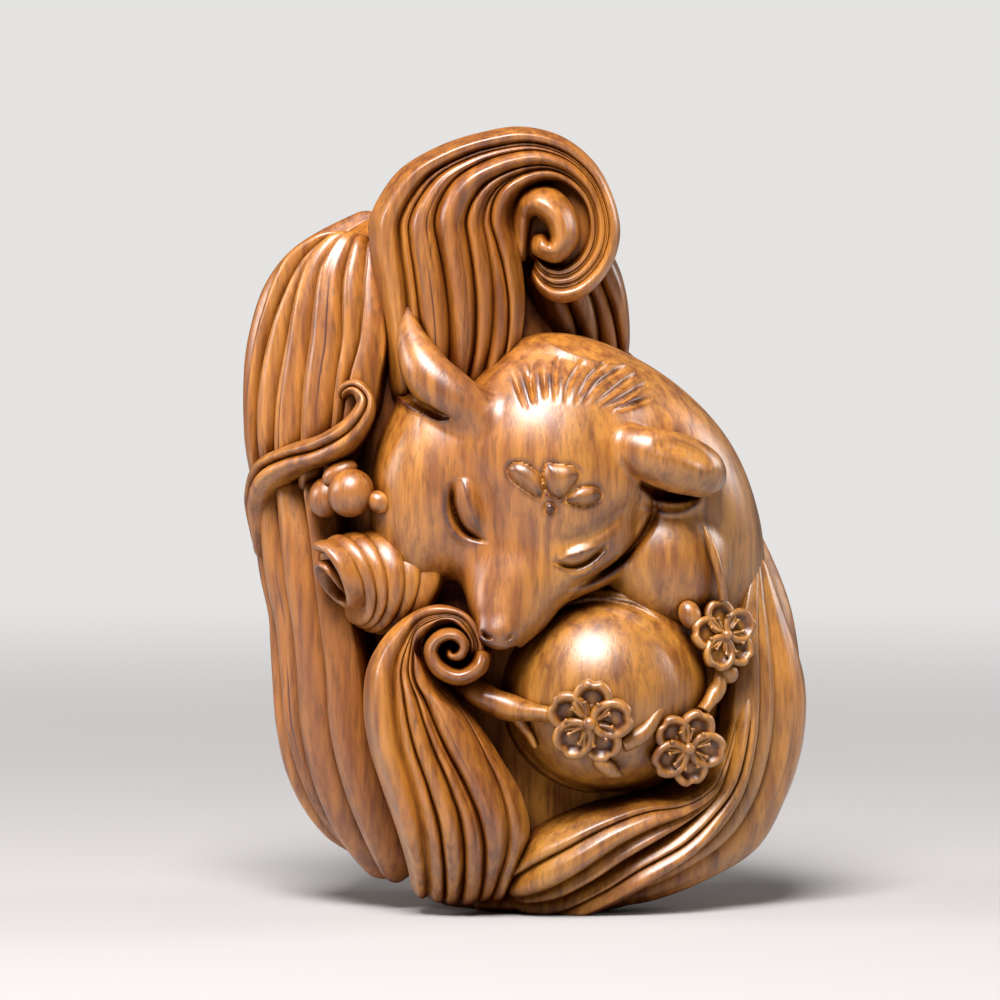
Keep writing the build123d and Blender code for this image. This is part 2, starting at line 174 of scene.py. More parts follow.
def kept(obj, *nodes):
    """Makes obj part of the figurine, in place of CAD nodes."""
    obj.data.materials.append(wood)
    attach(obj, "root")
    if nodes:
        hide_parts(*nodes)
    return obj


# Locks of hair: the grid, strands, hairlines and the lock's own form. Ranges are for random draws.
row_step = 0.28
strand_columns = 16
strand_part = (1 - np.cos(np.linspace(0, math.pi, strand_columns + 1))) / 2
under_columns = 12
strand_shares = (0.6, 1.5)
wander, wander_waves = 0.2, (0.5, 1.2)
strand_skew, strand_power = (0.7, 1.45), 2.2
strand_lean, lean_share, widest_lean = (-0.3, 0.3), 0.6, 2.5
strand_cut, deepest_groove = 0.52, 1.3
hairlines, hairline_width, hairline_depth, hairline_fade = 2, 0.06, 0.16, 1.4
hairline_place, hairline_drift = (0.25, 0.75), (-0.25, 0.25)
hairline_reach, hairline_centre = (0.2, 0.5), (0.1, 0.9)
edge_slope, fullness, under_share = 6, 0.55, 0.8
end_round, end_sink, almost_one = 1.6, 1.4, 0.999
way_nudge = 0.02
lock_lift, tail_depth = 0.1, 2.6
outside, beyond_share = 60, 200


def strand_heights(places, widths, strands, cut):
    """Columns across a lock, as shares from -1 to 1, and how high the strands stand there."""
    rows = len(places)
    along = places / max(places[-1], tiny)
    if not isinstance(strands, tuple):
        strands = tuple(rng.uniform(*strand_shares, strands)) if strands > 1 else (1.0,)
    shares = np.atleast_2d(np.asarray(strands, float))
    strands = shares.shape[1]
    ends = [
        np.concatenate([[0], np.cumsum(part)]) / part.sum() * 2 - 1
        for part in (shares[0], shares[-1])
    ]
    merged = (3 * along**2 - 2 * along**3)[:, None]
    bounds = ends[0][None, :] * (1 - merged) + ends[1][None, :] * merged
    for k in range(1, strands):
        phase, waves = rng.uniform(0, math.tau), rng.uniform(*wander_waves)
        bounds[:, k] += wander * np.sin(phase + waves * math.tau * along) * 2 / strands
    bounds = np.sort(bounds, axis=1)
    part = strand_part
    columns, heights = [], []
    for k in range(strands):
        low, high = bounds[:, k : k + 1], bounds[:, k + 1 : k + 2]
        share = part[None, :] if k == strands - 1 else part[None, :-1]
        width = (high - low) / 2 * widths[:, None]
        skew = rng.uniform(*strand_skew)
        swell = 1 - np.abs(2 * share**skew - 1) ** strand_power
        lean = rng.uniform(*strand_lean)
        overlap = max(lean, 0) * share + max(-lean, 0) * (1 - share)
        hairs = np.zeros((rows, 1))
        for _ in range(hairlines):
            fine, drift = rng.uniform(*hairline_place), rng.uniform(*hairline_drift)
            reach, centre = rng.uniform(*hairline_reach), rng.uniform(*hairline_centre)
            fade = np.clip(hairline_fade - np.abs(along - centre) / reach, 0, 1)[:, None]
            away = share - fine - drift * (along[:, None] - centre)
            hairs = hairs + np.exp(-((away / hairline_width) ** 2)) * fade * hairline_depth
        height = np.minimum(width * cut, deepest_groove) * (swell - hairs)
        height = height + np.minimum(width, widest_lean) * overlap * lean_share
        columns.append(low + share * (high - low))
        heights.append(height)
    return np.concatenate(columns, axis=1), np.concatenate(heights, axis=1)


def lock(name, left, right, outward, strands, rise, depth, node, back=False, cut=strand_cut):
    """A lock of hair between the curves through its left and right edges."""
    left, right, outward = (np.asarray(rows, float) for rows in (left, right, outward))
    places = evenly((left + right) / 2, row_step)
    a, b = curve(left, places), curve(right, places)
    facing = unit(curve(outward, places))
    middle, side = (a + b) / 2, (b - a) / 2
    widths = 2 * np.linalg.norm(side, axis=1)
    tangent = unit(np.gradient(middle, axis=0))
    normal = unit(np.cross(side, tangent))
    normal *= np.sign((normal * facing).sum(1, keepdims=True))
    columns, heights = strand_heights(places, widths, strands, cut)
    swell = (rise * widths / widths.max())[:, None] * np.clip(1 - columns**2, 0, 1) ** fullness
    edge = np.clip((1 - np.abs(columns)) * edge_slope, 0, 1)
    run = np.concatenate([[0], np.cumsum(np.linalg.norm(np.diff(middle, axis=0), axis=1))])
    near_end = np.clip(1 - np.minimum(run, run[-1] - run) / end_round, 0, 1)
    swell = swell - end_sink * (1 - np.sqrt(1 - near_end**2 * almost_one))[:, None]
    across = middle[:, None] + columns[..., None] * side[:, None]
    top = across + (swell + heights * edge)[..., None] * normal[:, None]
    if back:
        under = across - (depth + swell + heights * edge)[..., None] * normal[:, None]
        under = under[:, ::-1]
    else:
        shares = np.linspace(under_share, -under_share, under_columns)
        under = middle[:, None] + shares[None, :, None] * side[:, None] - depth * normal[:, None]
    return kept(solid(name, *tube_mesh(np.concatenate([top, under], axis=1))), node)


def tail(name, place, strands, rise, depth=tail_depth):
    """A lock in place of a CAD tail."""
    lock(f"{name}_hair", *place, strands, rise, depth, f"{name}_tail")


def edges(rows, facing=(0, -1, 0)):
    """Left and right edges and facing, from rows of two pixels with a forward share each."""
    rows = np.asarray(rows, float)
    left = spot(rows[:, 0], rows[:, 1], rows[:, 2])
    right = spot(rows[:, 3], rows[:, 4], rows[:, 5])
    return left, right, np.tile(np.asarray(facing, float), (len(rows), 1))


def stations(points, outwards, widths):
    """The same from points, the outward direction at each and widths."""
    places = np.arange(len(points), dtype=float)
    ahead = curve(points, np.minimum(places + way_nudge, places[-1]))
    behind = curve(points, np.maximum(places - way_nudge, 0))
    side = unit(np.cross(unit(ahead - behind), outwards)) * np.asarray(widths, float)[:, None] / 2
    return points - side, points + side, outwards


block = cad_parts["block"]


def strike(start, way):
    """Where a ray meets the block, and the outward direction there."""
    hit, place, normal, _ = block.ray_cast(Vector(start) / metre, Vector(way))
    return (np.array(place) * metre, np.array(normal)) if hit else None


def over(rows, lift):
    """Stations on the block from rows of a pixel and a width in pixels."""
    points, outwards = [], []
    for px, py, _ in rows:
        near, far = spot(px, py, beyond_share), spot(px, py, -beyond_share)
        place, normal = strike(near, far - near)
        points.append(place + normal * lift)
        outwards.append(normal)
    return stations(np.array(points), np.array(outwards), [row[2] * pixel for row in rows])


def around(rows, width, lift=lock_lift):
    """Stations round the block from rows of an angle and percents of the height and of the width."""
    points, outwards = [], []
    for angle, share, _ in rows:
        z = share / percent * figure_height
        sides = [strike((way * outside, 0, z), (-way, 0, 0))[0][0] for way in (-1, 1)]
        centre_x = sum(sides) / 2
        ends = [strike((centre_x, way * outside, z), (0, -way, 0))[0][1] for way in (-1, 1)]
        centre = np.array((centre_x, sum(ends) / 2, z))
        wide, deep = sides[1] - sides[0], ends[1] - ends[0]
        angle = math.radians(angle)
        way = unit(np.array((math.sin(angle) * wide, -math.cos(angle) * deep, 0)))
        place, normal = strike(centre + way * outside, -way)
        points.append(place + normal * lift)
        outwards.append(normal)
    return stations(np.array(points), np.array(outwards), [row[2] / percent * width for row in rows])


def free(rows, facing=(0, -1, 0)):
    """Stations off the block from rows of a pixel, a width in pixels and a forward share."""
    rows = np.asarray(rows, float)
    points = spot(rows[:, 0], rows[:, 1], rows[:, 3])
    return stations(points, np.tile(np.asarray(facing, float), (len(rows), 1)), rows[:, 2] * pixel)


# The wood: orange brown with golden and brown streaks, fine dark pores along the grain, and painted
# shade that darkens it in the cuts
black, white = (0, 0, 0, 1), (1, 1, 1, 1)
grain_tilt = (0.06, 0.12, 0)
coat, gloss = 0.8, 0.7


def linear(*color):
    """A colour written in sRGB, from 0 to 255, as the linear one that a socket takes."""
    return tuple(((c / 255 + 0.055) / 1.055) ** 2.4 for c in color) + (1,)


def put(node, **values):
    """Sets a node's inputs, named with _ for a space."""
    for name, value in values.items():
        node.inputs[name.replace("_", " ")].default_value = value


def shader_node(kind):
    return nodes.new(f"ShaderNode{kind}")


wood = bpy.data.materials.new("carved_wood")
wood.use_nodes = True
nodes, links = wood.node_tree.nodes, wood.node_tree.links
shader = nodes["Principled BSDF"]
put(shader, Roughness=0.42, Specular_IOR_Level=gloss, Coat_Weight=coat, Coat_Roughness=0.34)
place = shader_node("TexCoord")


def noise(scale, stretch, detail, roughness):
    """Noise in the figurine's own space, stretched along the grain."""
    mapping = shader_node("Mapping")
    put(mapping, Scale=stretch, Rotation=grain_tilt)
    links.new(place.outputs["Object"], mapping.inputs["Vector"])
    texture = shader_node("TexNoise")
    put(texture, Scale=scale, Detail=detail, Roughness=roughness)
    links.new(mapping.outputs["Vector"], texture.inputs["Vector"])
    return texture.outputs["Fac"]


def ramp(value, *stops):
    """Colours along a value."""
    made = shader_node("ValToRGB")
    while len(made.color_ramp.elements) < len(stops):
        made.color_ramp.elements.new(0.5)
    for element, (position, color) in zip(made.color_ramp.elements, stops):
        element.position = position
        element.color = color
    links.new(value, made.inputs["Fac"])
    return made.outputs["Color"]


def mixed(kind, amount, below, above):
    """One colour blended over another."""
    made = shader_node("Mix")
    made.data_type = "RGBA"
    made.blend_type = kind
    for socket, value in (("Factor", amount), ("A", below), ("B", above)):
        target = next(i for i in made.inputs if i.name == socket and i.enabled)
        if isinstance(value, bpy.types.NodeSocket):
            links.new(value, target)
        else:
            target.default_value = value
    return next(o for o in made.outputs if o.enabled)


streaks = ramp(
    noise(70, (1, 1, 0.18), 5, 0.6),
    (0.3, linear(142, 82, 24)),
    (0.44, linear(156, 94, 28)),
    (0.56, linear(184, 120, 44)),
    (0.7, linear(154, 102, 36)),
)
olive = ramp(noise(38, (1, 1, 0.5), 4, 0.6), (0.5, black), (0.72, (0.75, 0.75, 0.75, 1)))
tinted = mixed("MIX", olive, streaks, linear(150, 106, 34))
fibres = ramp(noise(900, (1, 1, 0.1), 3, 0.65), (0.34, linear(158, 122, 84)), (0.6, white))
pores = ramp(noise(2600, (1, 1, 0.16), 2, 0.6), (0.33, black), (0.45, white))
grained = mixed("MULTIPLY", 0.3, mixed("MULTIPLY", 0.8, tinted, fibres), pores)
# Painted shade: the colour darkens where the surface is hollow, in the cuts
hollow = shader_node("Attribute")
hollow.attribute_name = "hollow"
shade = ramp(hollow.outputs["Fac"], (0.02, white), (0.55, linear(120, 74, 44)))
# Painted shade from occlusion: the colour darkens near corners within a few millimetres
corners = shader_node("AmbientOcclusion")
corners.samples = 8
put(corners, Distance=0.0045)
deep = ramp(corners.outputs["AO"], (0.15, linear(112, 62, 24)), (0.62, white))
grain_and_painted_shade = mixed("MULTIPLY", 1.0, mixed("MULTIPLY", 1.0, grained, shade), deep)
links.new(grain_and_painted_shade, shader.inputs["Base Color"])
bump = shader_node("Bump")
put(bump, Strength=0.14, Distance=0.0002)
links.new(mixed("MULTIPLY", 0.5, fibres, pores), bump.inputs["Height"])
links.new(bump.outputs["Normal"], shader.inputs["Normal"])

# The block in the middle keeps its shape from the frame
inner_wood = wood.copy()
inner_wood.name = "inner_wood"
dull = inner_wood.node_tree.nodes["Principled BSDF"]
put(dull, Roughness=0.8, Specular_IOR_Level=0.2, Coat_Weight=0)
block.data.materials.clear()
block.data.materials.append(inner_wood)

# Painted shade on the gloss: where occlusion is high the coat and the specular level fall, so the cuts show
# less sheen
for socket, most in (("Coat Weight", coat), ("Specular IOR Level", gloss)):
    gloss_in_painted_shade = shader_node("MapRange")
    put(gloss_in_painted_shade, From_Min=0.3, From_Max=0.9, To_Min=0.04, To_Max=most)
    links.new(corners.outputs["AO"], gloss_in_painted_shade.inputs["Value"])
    links.new(gloss_in_painted_shade.outputs["Result"], shader.inputs[socket])

# The crest: its outer edge, then its inner edge, up the stem and round the volute
crest_share = 42
crest_rows = (
    (392, 400, 505, 390), (388, 360, 520, 345), (382, 320, 525, 305), (376, 280, 523, 272),
    (370, 245, 518, 245), (369, 222, 513, 222), (380, 196, 516, 204), (402, 168, 525, 191),
    (440, 146, 537, 184), (480, 133, 549, 181), (520, 127, 561, 183), (560, 136, 573, 191),
    (592, 160, 583, 203), (611, 192, 588, 218), (620, 228, 588, 234), (615, 258, 583, 250),
    (602, 280, 573, 262), (585, 296, 560, 268), (562, 303, 548, 266), (543, 296, 540, 260),
    (530, 280, 536, 254),
)
crest_strands = ((22, 20, 22, 30, 20, 16, 17), (44, 2, 2, 24, 2, 2, 24))
crest = edges([(a, b, crest_share, c, d, crest_share) for a, b, c, d in crest_rows])
lock("crest_tail_hair", *crest, crest_strands, rise=2.2, depth=5.5, node="crest_tail", back=True)
crest_curl_swell = 1.2
crest_curl_rows = (
    (518, 262, 18, 34), (519, 236, 20, 36), (522, 214, 22, 38), (532, 202, 26, 41), (547, 204, 28, 45),
    (560, 218, 27, 47), (564, 238, 25, 47), (554, 251, 21, 47), (541, 247, 17, 48), (538, 234, 10, 48),
)
crest_curl = free([(px, py, width * crest_curl_swell, share) for px, py, width, share in crest_curl_rows])
lock("crest_curl_hair", *crest_curl, strands=1, rise=0.9, depth=5, node="crest_curl")
rear_crest_rows = (
    (530, 190, 60, 16), (552, 235, 84, 14), (578, 290, 96, 10), (590, 345, 84, 6), (590, 400, 60, 0),
)
rear_crest = free(rear_crest_rows, facing=(0.3, -1, 0.1))
lock("rear_crest_hair", *rear_crest, strands=4, rise=1.8, depth=5, node="rear_crest", back=True)

# The tails down the left side
to_left, to_right = (-0.7, -0.7, 0), (0.7, -0.7, 0)
left_upper_rows = (
    (345, 231, 5, 372, 236, 30), (318, 243, 0, 378, 255, 36), (293, 262, -5, 380, 285, 42),
    (275, 298, -8, 384, 315, 46), (261, 345, -10, 386, 345, 48), (254, 400, -10, 380, 378, 50),
    (255, 445, -10, 374, 412, 50), (262, 485, -16, 362, 448, 42), (272, 515, -24, 348, 480, 30),
)
tail("left_upper", edges(left_upper_rows, to_left), (20, 16, 22, 24, 16, 14), rise=2.0)
left_lower_rows = (
    (264, 470, -14, 330, 480, 34), (266, 520, -12, 338, 530, 40), (274, 570, -12, 345, 580, 46),
    (286, 615, -12, 352, 625, 50), (289, 665, -12, 360, 670, 52), (292, 720, -12, 366, 722, 52),
    (301, 765, -12, 380, 775, 50), (323, 804, -10, 395, 820, 46), (358, 834, -5, 406, 858, 40),
    (394, 852, 0, 412, 878, 34),
)
tail("left_lower", edges(left_lower_rows, to_left), (18, 17, 25, 20), rise=2.0)
left_edge_rows = (
    (-94, 40, 30), (-95, 50, 45), (-96, 60, 50), (-98, 71, 50), (-106, 80, 45), (-124, 87, 25),
)
rear_width = 11.5
tail("left_edge", around(left_edge_rows, rear_width), strands=3, rise=1.9)
wrap_rows = (
    (266, 560, -10, 274, 560, 0), (259, 530, -5, 279, 532, 8), (255, 490, 0, 279, 503, 14),
    (267, 458, 14, 289, 484, 28), (291, 444, 32, 309, 471, 42), (321, 434, 50, 336, 462, 56),
    (344, 419, 60, 359, 444, 62), (356, 404, 63, 375, 416, 64), (355, 397, 62, 374, 396, 62),
    (352, 394, 60, 362, 381, 60), (349, 395, 57, 346, 381, 57), (347, 399, 53, 339, 392, 53),
    (346, 403, 50, 341, 402, 50),
)
wrap, wrap_strands = edges(wrap_rows, facing=(-0.3, -1, 0)), (10, 14)
lock("wrap_hair", *wrap, wrap_strands, rise=1.6, depth=2.4, node="wrap_lock")

# The tail in front: its outer edge, then its inner edge, from the base up to the curl
front_rows = (
    (412, 896, 52, 508, 896, 52), (407, 868, 60, 520, 866, 60), (396, 830, 68, 530, 832, 68),
    (382, 790, 70, 522, 796, 70), (368, 745, 70, 503, 762, 70), (363, 705, 70, 484, 732, 70),
    (367, 668, 70, 463, 705, 70), (383, 638, 72, 441, 684, 72), (407, 616, 74, 427, 662, 74),
    (434, 605, 78, 424, 642, 78), (459, 609, 80, 434, 628, 80), (477, 625, 82, 452, 624, 82),
    (484, 648, 82, 466, 636, 82), (479, 668, 82, 467, 652, 82),
)
front_strands = ((18, 18, 20, 22, 20, 20), (30, 3, 3, 3, 30, 3))
lock("front_tail_hair", *edges(front_rows), front_strands, rise=2.6, depth=6, node="front_tail")
front_curl_rows = (
    (484, 650, 16, 82), (478, 668, 18, 82), (458, 677, 18, 82), (438, 668, 17, 82), (431, 650, 15, 82),
    (440, 637, 13, 84), (455, 635, 12, 86), (464, 645, 11, 87), (460, 656, 10, 87), (450, 656, 8, 87),
    (448, 648, 5, 87),
)
lock("front_curl_hair", *free(front_curl_rows), strands=1, rise=1.0, depth=4, node="front_curl")
left_inner_rows = ((347, 640, 18), (351, 690, 32), (366, 750, 36), (390, 810, 32), (415, 862, 20))
tail("left_inner", over(left_inner_rows, lift=1.0), strands=3, rise=1.5)

# The tails round the base and up the right side
base_upper_rows = (
    (500, 872, 56, 515, 903, 50), (528, 845, 66, 556, 897, 56), (560, 830, 70, 592, 879, 60),
    (600, 814, 70, 626, 857, 62), (640, 803, 66, 660, 838, 60), (680, 800, 62, 690, 818, 56),
    (708, 786, 56, 714, 798, 52), (722, 760, 50, 728, 770, 48), (732, 722, 46, 738, 730, 44),
    (737, 690, 42, 739, 694, 40),
)
tail("base_upper", edges(base_upper_rows, facing=(0, -1, -0.3)), strands=3, rise=1.6, depth=5.5)
base_middle_rows = (
    (505, 898, 50, 520, 908, 46), (545, 896, 56, 572, 908, 48), (590, 880, 60, 612, 898, 52),
    (628, 857, 62, 650, 877, 54), (670, 834, 58, 692, 850, 50), (702, 805, 52, 718, 822, 46),
    (721, 774, 48, 738, 790, 42), (731, 735, 46, 750, 745, 40), (739, 700, 44, 750, 704, 38),
    (744, 664, 38, 747, 666, 34),
)
tail("base_middle", edges(base_middle_rows, facing=(0.1, -1, -0.3)), strands=2, rise=1.3, depth=5)
base_lower_rows = ((-34, 1, 20), (-5, 1.2, 28), (20, 2, 30), (40, 3.5, 30), (58, 7, 26))
tail("base_lower", around(base_lower_rows, rear_width, lift=0.2), strands=2, rise=1.2)
flank_rows = (
    (756, 548, 20, 761, 550, 16), (748, 596, 34, 771, 602, 6), (738, 650, 42, 790, 655, -4),
    (734, 700, 46, 797, 696, -8), (732, 745, 46, 791, 745, -8), (726, 790, 46, 775, 790, -2),
    (708, 826, 46, 752, 838, 6), (680, 856, 48, 704, 872, 20), (640, 882, 50, 656, 896, 34),
    (600, 900, 48, 610, 908, 42),
)
flank, flank_strands = edges(flank_rows, to_right), (12, 16, 44, 14)
lock("flank_hair", *flank, flank_strands, rise=1.8, depth=3, node="flank", cut=0.25)

# The tails down the back
rear_rows = {
    "rear_left": (
        (-118, 3, 50), (-122, 20, 90), (-124, 40, 100), (-126, 60, 95), (-134, 75, 80), (-150, 85, 40),
    ),
    "rear_middle": (
        (-152, 3, 50), (-154, 20, 90), (-156, 40, 100), (-158, 58, 95), (-166, 72, 75), (-176, 85, 40),
    ),
    "rear_right": (
        (172, 3, 50), (172, 20, 90), (172, 40, 100), (172, 56, 90), (172, 68, 70), (170, 80, 35),
    ),
    "right_rear": (
        (140, 3, 50), (140, 20, 90), (142, 38, 100), (144, 52, 80), (148, 62, 60), (154, 72, 30),
    ),
    "right_edge": (
        (108, 5, 50), (108, 20, 90), (110, 34, 90), (116, 48, 70), (126, 58, 45), (136, 66, 25),
    ),
}
for name, rows in rear_rows.items():
    tail(name, around(rows, rear_width), strands=5, rise=1.3)


# The smooth body, blended from round forms
voxel = 0.13
far_off = 3.0
least_slope = 1e-3
limb_step, limb_margin = 0.3, 2.5
front_blend = 1.5


class Clay:
    """A body of round forms in a grid of distances, negative inside."""

    def __init__(self, low, high):
        self.low = np.asarray(low, float)
        count = np.ceil((np.asarray(high, float) - self.low) / voxel).astype(int)
        axes = [(self.low[k] + np.arange(count[k]) * voxel).astype(np.float32) for k in range(3)]
        self.x, self.y = axes[0][:, None, None], axes[1][None, :, None]
        self.z = axes[2][None, None, :]
        self.field = np.full(count, far_off, np.float32)

    def join(self, form, blend):
        """Adds a form, with a fillet of about the blend's width."""
        if blend:
            part = np.clip(blend - np.abs(self.field - form), 0, None) / blend
            self.field = np.minimum(self.field, form) - part * part * blend / 4
        else:
            self.field = np.minimum(self.field, form)

    def cut(self, form, blend):
        """Takes a form away, with its rim rounded."""
        part = np.clip(blend - np.abs(self.field + form), 0, None) / blend
        self.field = np.maximum(self.field, -form) + part * part * blend / 4

    def egg(self, centre, radii, turn=0.0):
        """An ellipsoid, its first and third axes turned clockwise in the front view, in degrees."""
        c, s = math.cos(math.radians(turn)), math.sin(math.radians(turn))
        x, y, z = self.x - centre[0], self.y - centre[1], self.z - centre[2]
        u, v = (x * c - z * s) / radii[0], (x * s + z * c) / radii[2]
        w = y / radii[1]
        size = np.sqrt(u * u + v * v + w * w)
        slope = np.sqrt((u / radii[0]) ** 2 + (v / radii[2]) ** 2 + (w / radii[1]) ** 2)
        return size * (size - 1) / np.maximum(slope, least_slope)

    def limb(self, rows, flat=1.0):
        """A chain of round cones through rows of a pixel, a radius in pixels and a forward share."""
        rows = np.asarray(rows, float)
        centres = spot(rows[:, 0], rows[:, 1], rows[:, 3])
        places = evenly(centres, limb_step)
        radii = curve(rows[:, 2] * pixel, places)
        gaps = np.full(self.field.shape, far_off, np.float32)
        for point, radius in zip(curve(centres, places), radii):
            reach = radius + limb_margin
            stretch = np.array((reach, reach * flat, reach))
            first = np.clip(((point - stretch - self.low) / voxel).astype(int), 0, None)
            last = np.clip(((point + stretch - self.low) / voxel).astype(int) + 2, 0, None)
            part = tuple(slice(a, b) for a, b in zip(first, last))
            x, y = self.x[part[0]] - point[0], self.y[:, part[1]] - point[1]
            z = self.z[:, :, part[2]] - point[2]
            gaps[part] = np.minimum(gaps[part], np.sqrt(x * x + (y / flat) ** 2 + z * z) - radius)
        return gaps

    def engrave(self, relief, back_share):
        """Sinks the front by the depths of a relief in the front view."""
        front = np.clip((-self.y - back_share * half_depth) / front_blend, 0, 1)
        self.field = self.field + relief[:, None, :] * front

    def mesh(self, name):
        """The body's surface as a mesh of the wood."""
        field = np.clip(self.field, -far_off, far_off)
        for axis in range(3):
            np.moveaxis(field, axis, 0)[[0, -1]] = far_off
        grid = openvdb.FloatGrid(background=far_off)
        grid.copyFromArray(field.astype(np.float32))
        points, _, quads = grid.convertToPolygons(isovalue=0.0, adaptivity=0.0)
        points = points.astype(float) * voxel + self.low
        return solid(name, points, quads.astype(int)[:, ::-1])


relief_step, stroke_reach, rim_width = 2.0, 3, 2.0
never_zero = 1e-12


class Relief:
    """Depths to sink the front of the clay by, drawn at pixels of the photograph."""

    def __init__(self, clay, share):
        near = pixel * (1 - share * half_depth / view_distance)
        lift = share * half_depth * math.tan(view_elevation)
        x, z = clay.x[:, 0, 0], clay.z[0, 0, :]
        self.px = ((x - (picture_px / 2 - middle_px) * pixel) / near + picture_px / 2)[:, None]
        self.py = (picture_px / 2 - (z - lift - (base_px - picture_px / 2) * pixel) / near)[None, :]
        self.depth = np.zeros((len(x), len(z)), np.float32)

    def near(self, rows):
        """Distance in pixels to a curve, and how far along it the nearest place lies."""
        rows = np.asarray(rows, float)
        points = curve(rows, evenly(rows, relief_step))
        best = np.full(self.depth.shape, np.inf)
        part = np.zeros(self.depth.shape)
        for k in range(len(points) - 1):
            a, way = points[k], points[k + 1] - points[k]
            x, y = self.px - a[0], self.py - a[1]
            t = np.clip((x * way[0] + y * way[1]) / max(way @ way, tiny), 0, 1)
            gap = (x - way[0] * t) ** 2 + (y - way[1] * t) ** 2
            closer = gap < best
            best = np.where(closer, gap, best)
            part = np.where(closer, (k + t) / (len(points) - 1), part)
        return np.sqrt(best), part

    def stroke(self, rows, width, depth, fade):
        """A cut along a curve that runs out at its ends. A negative depth raises a ridge."""
        gap, part = self.near(rows)
        strength = np.clip(np.minimum(part, 1 - part) / fade, 0, 1)
        strength = strength * np.clip((width * stroke_reach - gap) / width, 0, 1)
        self.depth += (depth * strength * np.exp(-((gap / width) ** 2))).astype(np.float32)

    def pad(self, outline, height, edge, cut, power):
        """A raised pad within an outline, with a cut round it."""
        outline = np.asarray(outline, float)
        closed = np.concatenate([outline, outline[:1]])
        loop = curve(closed, evenly(closed, relief_step))
        inside = np.zeros(self.depth.shape, bool)
        for a, b in zip(loop, np.roll(loop, -1, axis=0)):
            crosses = (a[1] > self.py) != (b[1] > self.py)
            reach = (b[0] - a[0]) * (self.py - a[1]) / (b[1] - a[1] + never_zero) + a[0]
            inside ^= crosses & (self.px < reach)
        gap, _ = self.near(closed)
        rise = np.where(inside, -height * (1 - np.exp(-((gap / edge) ** power))), 0)
        rim = np.where(inside, 0, cut * np.exp(-((gap / rim_width) ** 2)))
        self.depth += (rise + rim).astype(np.float32)


# The head: rows of a pixel, half a width in pixels and the forward shares of its front and back
body = Clay(low=(-16, -17.5, 19), high=(24, 4, 54))
head_rows = (
    (579, 362, 34, 56, 20), (572, 384, 74, 76, 5), (561, 416, 96, 86, -5), (551, 452, 103, 91, -5),
    (544, 488, 101, 90, 0), (542, 524, 99, 86, 10), (536, 556, 82, 84, 20), (516, 589, 51, 86, 35),
    (505, 617, 36, 89, 50), (498, 640, 24, 87, 62),
)
head_tilt, head_power, head_fineness = math.radians(17), 2.2, 200


def head_form(clay):
    """A wide forehead that narrows to a long muzzle, square to the tilted line of the face."""
    rows = np.asarray(head_rows, float)
    middle = (rows[:, 3] + rows[:, 4]) / 2
    centres = spot(rows[:, 0], rows[:, 1], middle)
    down = np.array((-math.sin(head_tilt), 0, -math.cos(head_tilt)))
    side = np.array((math.cos(head_tilt), 0, -math.sin(head_tilt)))
    places = centres @ down
    along = clay.x * down[0] + clay.z * down[2]
    across = clay.x * side[0] + clay.z * side[2]
    fine = np.linspace(0, len(rows) - 1, head_fineness)
    ways = curve(places, fine)

    def row(values):
        return np.interp(along, ways, curve(values, fine)).astype(np.float32)

    half = row(rows[:, 2] * pixel)
    deep = row((rows[:, 3] - rows[:, 4]) / 2 / percent * half_depth)
    u = (across - row(centres @ side)) / half
    w = (clay.y - row(centres[:, 1])) / deep
    size = (np.abs(u) ** head_power + np.abs(w) ** head_power) ** (1 / head_power)
    round_form = (size - 1) * np.minimum(half, deep)
    ends = np.maximum(ways[0] - along, along - ways[-1])
    return np.maximum(round_form, ends).astype(np.float32)


# Head, muzzle, tip of the nose and cheek, then the back, the chest and the ears
body.join(head_form(body), blend=0)
body.join(body.egg(spot(516, 588, 66), (3.7, 3.2, 5.0), turn=17), blend=1.2)
body.join(body.egg(spot(498, 634, 80), (1.95, 1.9, 1.5)), blend=0.9)
body.join(body.egg(spot(424, 490, 44), (4.6, 5.4, 9.4), turn=5), blend=4.5)
back_rows = (
    (500, 400, 26, 40), (545, 396, 62, 36), (600, 430, 80, 26), (652, 478, 84, 18), (682, 530, 78, 12),
    (704, 590, 62, 8), (728, 650, 40, 6),
)
body.join(body.limb(back_rows), blend=1.6)
body.join(body.egg(spot(664, 562, 38), (5.8, 5.0, 6.2), turn=-20), blend=0.5)
left_ear_rows = (
    (480, 415, 22, 70), (452, 396, 25, 70), (428, 374, 24, 67), (414, 346, 17, 60), (409, 322, 9, 54),
    (408, 306, 3, 50),
)
body.join(body.limb(left_ear_rows), blend=1.0)
right_ear_rows = (
    (622, 444, 18, 72), (648, 453, 26, 74), (674, 463, 30, 70), (698, 471, 26, 63), (712, 478, 14, 58),
)
body.join(body.limb(right_ear_rows), blend=0.6)
left_hollow_rows = ((400, 398, 5, 66), (418, 408, 8, 70), (436, 414, 6, 72), (452, 417, 2, 74))
right_hollow_rows = ((645, 484, 4, 66), (664, 492, 8, 60), (690, 491, 8, 54), (708, 481, 4, 50))
body.cut(body.limb(left_hollow_rows, flat=2.5), blend=0.3)
body.cut(body.limb(right_hollow_rows, flat=3.0), blend=0.4)

